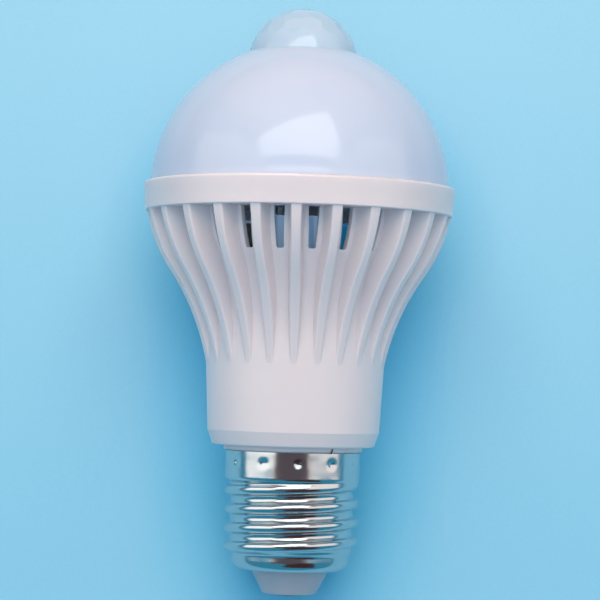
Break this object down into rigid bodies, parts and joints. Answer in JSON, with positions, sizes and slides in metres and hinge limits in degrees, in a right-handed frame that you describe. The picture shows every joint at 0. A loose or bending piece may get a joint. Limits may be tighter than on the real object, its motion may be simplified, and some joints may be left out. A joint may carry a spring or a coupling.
{
  "type": "motion sensor led bulb",
  "caption": "Screw-base light bulb with a ribbed, vented white housing, a frosted globe and a motion sensor dome at its crown.",
  "frame": {"origin": "middle of the foot contact's lower face, on the bulb's axis", "axes": "+Z along the bulb's axis, from the foot contact towards the sensor dome; -Y is the front"},
  "size_m": [0.0608, 0.0608, 0.1144],
  "materials": {
    "housing_plastic": "fine satin moulded",
    "globe_plastic": "frosted diffuser",
    "lens_plastic": "milky, translucent",
    "nickel_plate": "bright nickel plate",
    "insulator_plastic": "satin",
    "contact_metal": "tinned",
    "board_laminate": "pale solder mask",
    "green_board": "green solder mask",
    "capacitor_sleeve": "dark shrink sleeve",
    "film_case": "moulded case",
    "choke_winding": "enamelled wire on ferrite",
    "chip_resin": "moulded resin",
    "resistor_coat": "lacquer",
    "red_wire": "wire insulation",
    "white_wire": "wire insulation",
    "bare_wire": "tinned wire",
    "aluminium_board": "white solder mask on aluminium",
    "emitter_resin": "phosphor in a white frame",
    "screw_steel": "zinc plate",
    "holder_plastic": "satin moulded",
    "can_metal": "nickel plate",
    "filter_window": "polished filter",
    "clear_resin": "clear resin"
  },
  "bodies": {
    "root": {"housing": "housing_plastic", "globe": "globe_plastic", "sensor_lens": "lens_plastic", "screw_shell": "nickel_plate", "insulator": "insulator_plastic", "centre_contact": "contact_metal", "driver_board": "board_laminate", "bulk_capacitor": "capacitor_sleeve", "output_capacitor": "capacitor_sleeve", "film_capacitor": "film_case", "choke": "choke_winding", "bridge_rectifier": "chip_resin", "driver_chip": "chip_resin", "fuse_resistor": "resistor_coat", "live_lead": "red_wire", "neutral_lead": "bare_wire", "light_leads": "white_wire", "sensor_leads": "red_wire", "light_board": "aluminium_board", "light_emitters": "emitter_resin", "board_screws": "screw_steel", "sensor_holder": "holder_plastic", "sensor_board": "green_board", "motion_sensor_can": "can_metal", "motion_sensor_window": "filter_window", "sensor_chip": "chip_resin", "light_sensor": "clear_resin", "sensor_capacitors": "capacitor_sleeve"}
  },
  "joints": []
}
